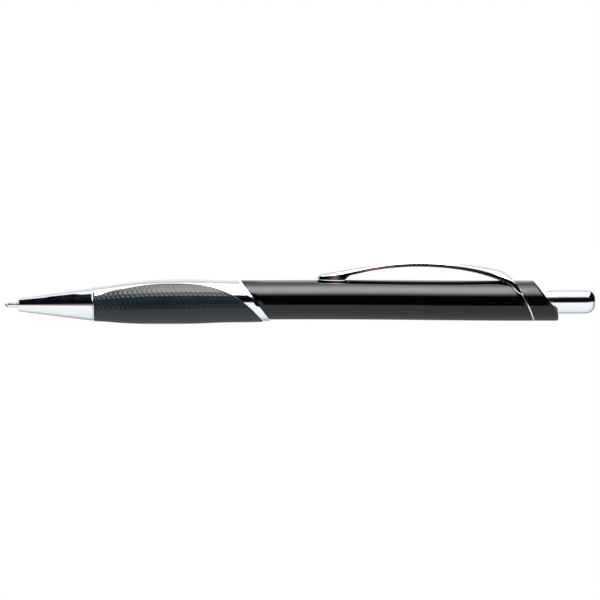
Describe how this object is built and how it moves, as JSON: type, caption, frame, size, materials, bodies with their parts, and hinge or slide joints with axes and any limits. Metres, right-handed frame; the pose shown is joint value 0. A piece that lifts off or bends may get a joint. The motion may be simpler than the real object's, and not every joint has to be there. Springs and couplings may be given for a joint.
{
  "type": "retractable ballpoint pen",
  "caption": "Click ballpoint pen with plated conical nose, dimpled rubber grip, gloss black barrel, arched pocket clip and rear push button.",
  "frame": {"origin": "centre of the button's flat end face, on the axis that the refill lies on, with the point out", "axes": "+X along the pen from ball to button, +Z out through the clip, +Y completes the right hand"},
  "size_m": [0.142, 0.011, 0.015],
  "materials": {
    "chrome": "bright plating on plastic",
    "gloss_black": "polished",
    "rubber": "matte, fine dimples",
    "brass": "turned",
    "carbide": "lapped",
    "spring_steel": "drawn wire",
    "clear_tube": "natural, half clear",
    "ink": "dark paste",
    "white_plastic": "moulded",
    "grey_plastic": "moulded"
  },
  "bodies": {
    "barrel": {"grip_core": "chrome", "grip_sleeve": "rubber", "barrel": "gloss_black", "clip_ring": "chrome", "end_cap": "gloss_black", "cam_housing": "grey_plastic"},
    "button": {"push_button": "chrome", "thrust_cam": "grey_plastic"},
    "refill": {"point_body": "brass", "tip_adapter": "white_plastic", "refill_tube": "clear_tube", "ink_column": "ink"},
    "rotor": {"cam_rotor": "white_plastic"},
    "ball": {"writing_ball": "carbide"},
    "spring": {"return_spring": "spring_steel"},
    "nose": {"nose_cone": "chrome"},
    "clip": {"clip_arm": "chrome"}
  },
  "joints": [
    {"name": "button_slide", "type": "slide", "parent": "barrel", "child": "button", "axis": [1, 0, 0], "range_m": [-0.0015, 0.005]},
    {"name": "refill_slide", "type": "slide", "parent": "barrel", "child": "refill", "axis": [1, 0, 0], "range_m": [-0.0015, 0.005], "deforming": ["return_spring"]},
    {"name": "rotor_turn", "type": "hinge", "parent": "refill", "child": "rotor", "pos_m": [-0.038, 0, 0], "axis": [1, 0, 0], "range_deg": [-14, 46]},
    {"name": "ball_roll", "type": "hinge", "parent": "refill", "child": "ball", "pos_m": [-0.1415, 0, 0], "axis": [0, 1, 0], "continuous": true},
    {"name": "nose_lead", "type": "slide", "parent": "barrel", "child": "spring", "axis": [-1, 0, 0], "range_m": [0, 0.005], "deforming": ["return_spring"]},
    {"name": "nose_unscrew", "type": "hinge", "parent": "spring", "child": "nose", "pos_m": [-0.12, 0, 0], "axis": [-1, 0, 0], "range_deg": [0, 1800]},
    {"name": "clip_flex", "type": "hinge", "parent": "barrel", "child": "clip", "pos_m": [-0.0229, 0, 0.00775], "axis": [0, 1, 0], "range_deg": [0, 4]}
  ],
  "couplings": [
    {"joint": "refill_slide", "follows": "button_slide", "ratio": 1},
    {"joint": "rotor_turn", "follows": "button_slide", "rad_per_m": 157.08},
    {"joint": "nose_unscrew", "follows": "nose_lead", "rad_per_m": 6283.2}
  ]
}
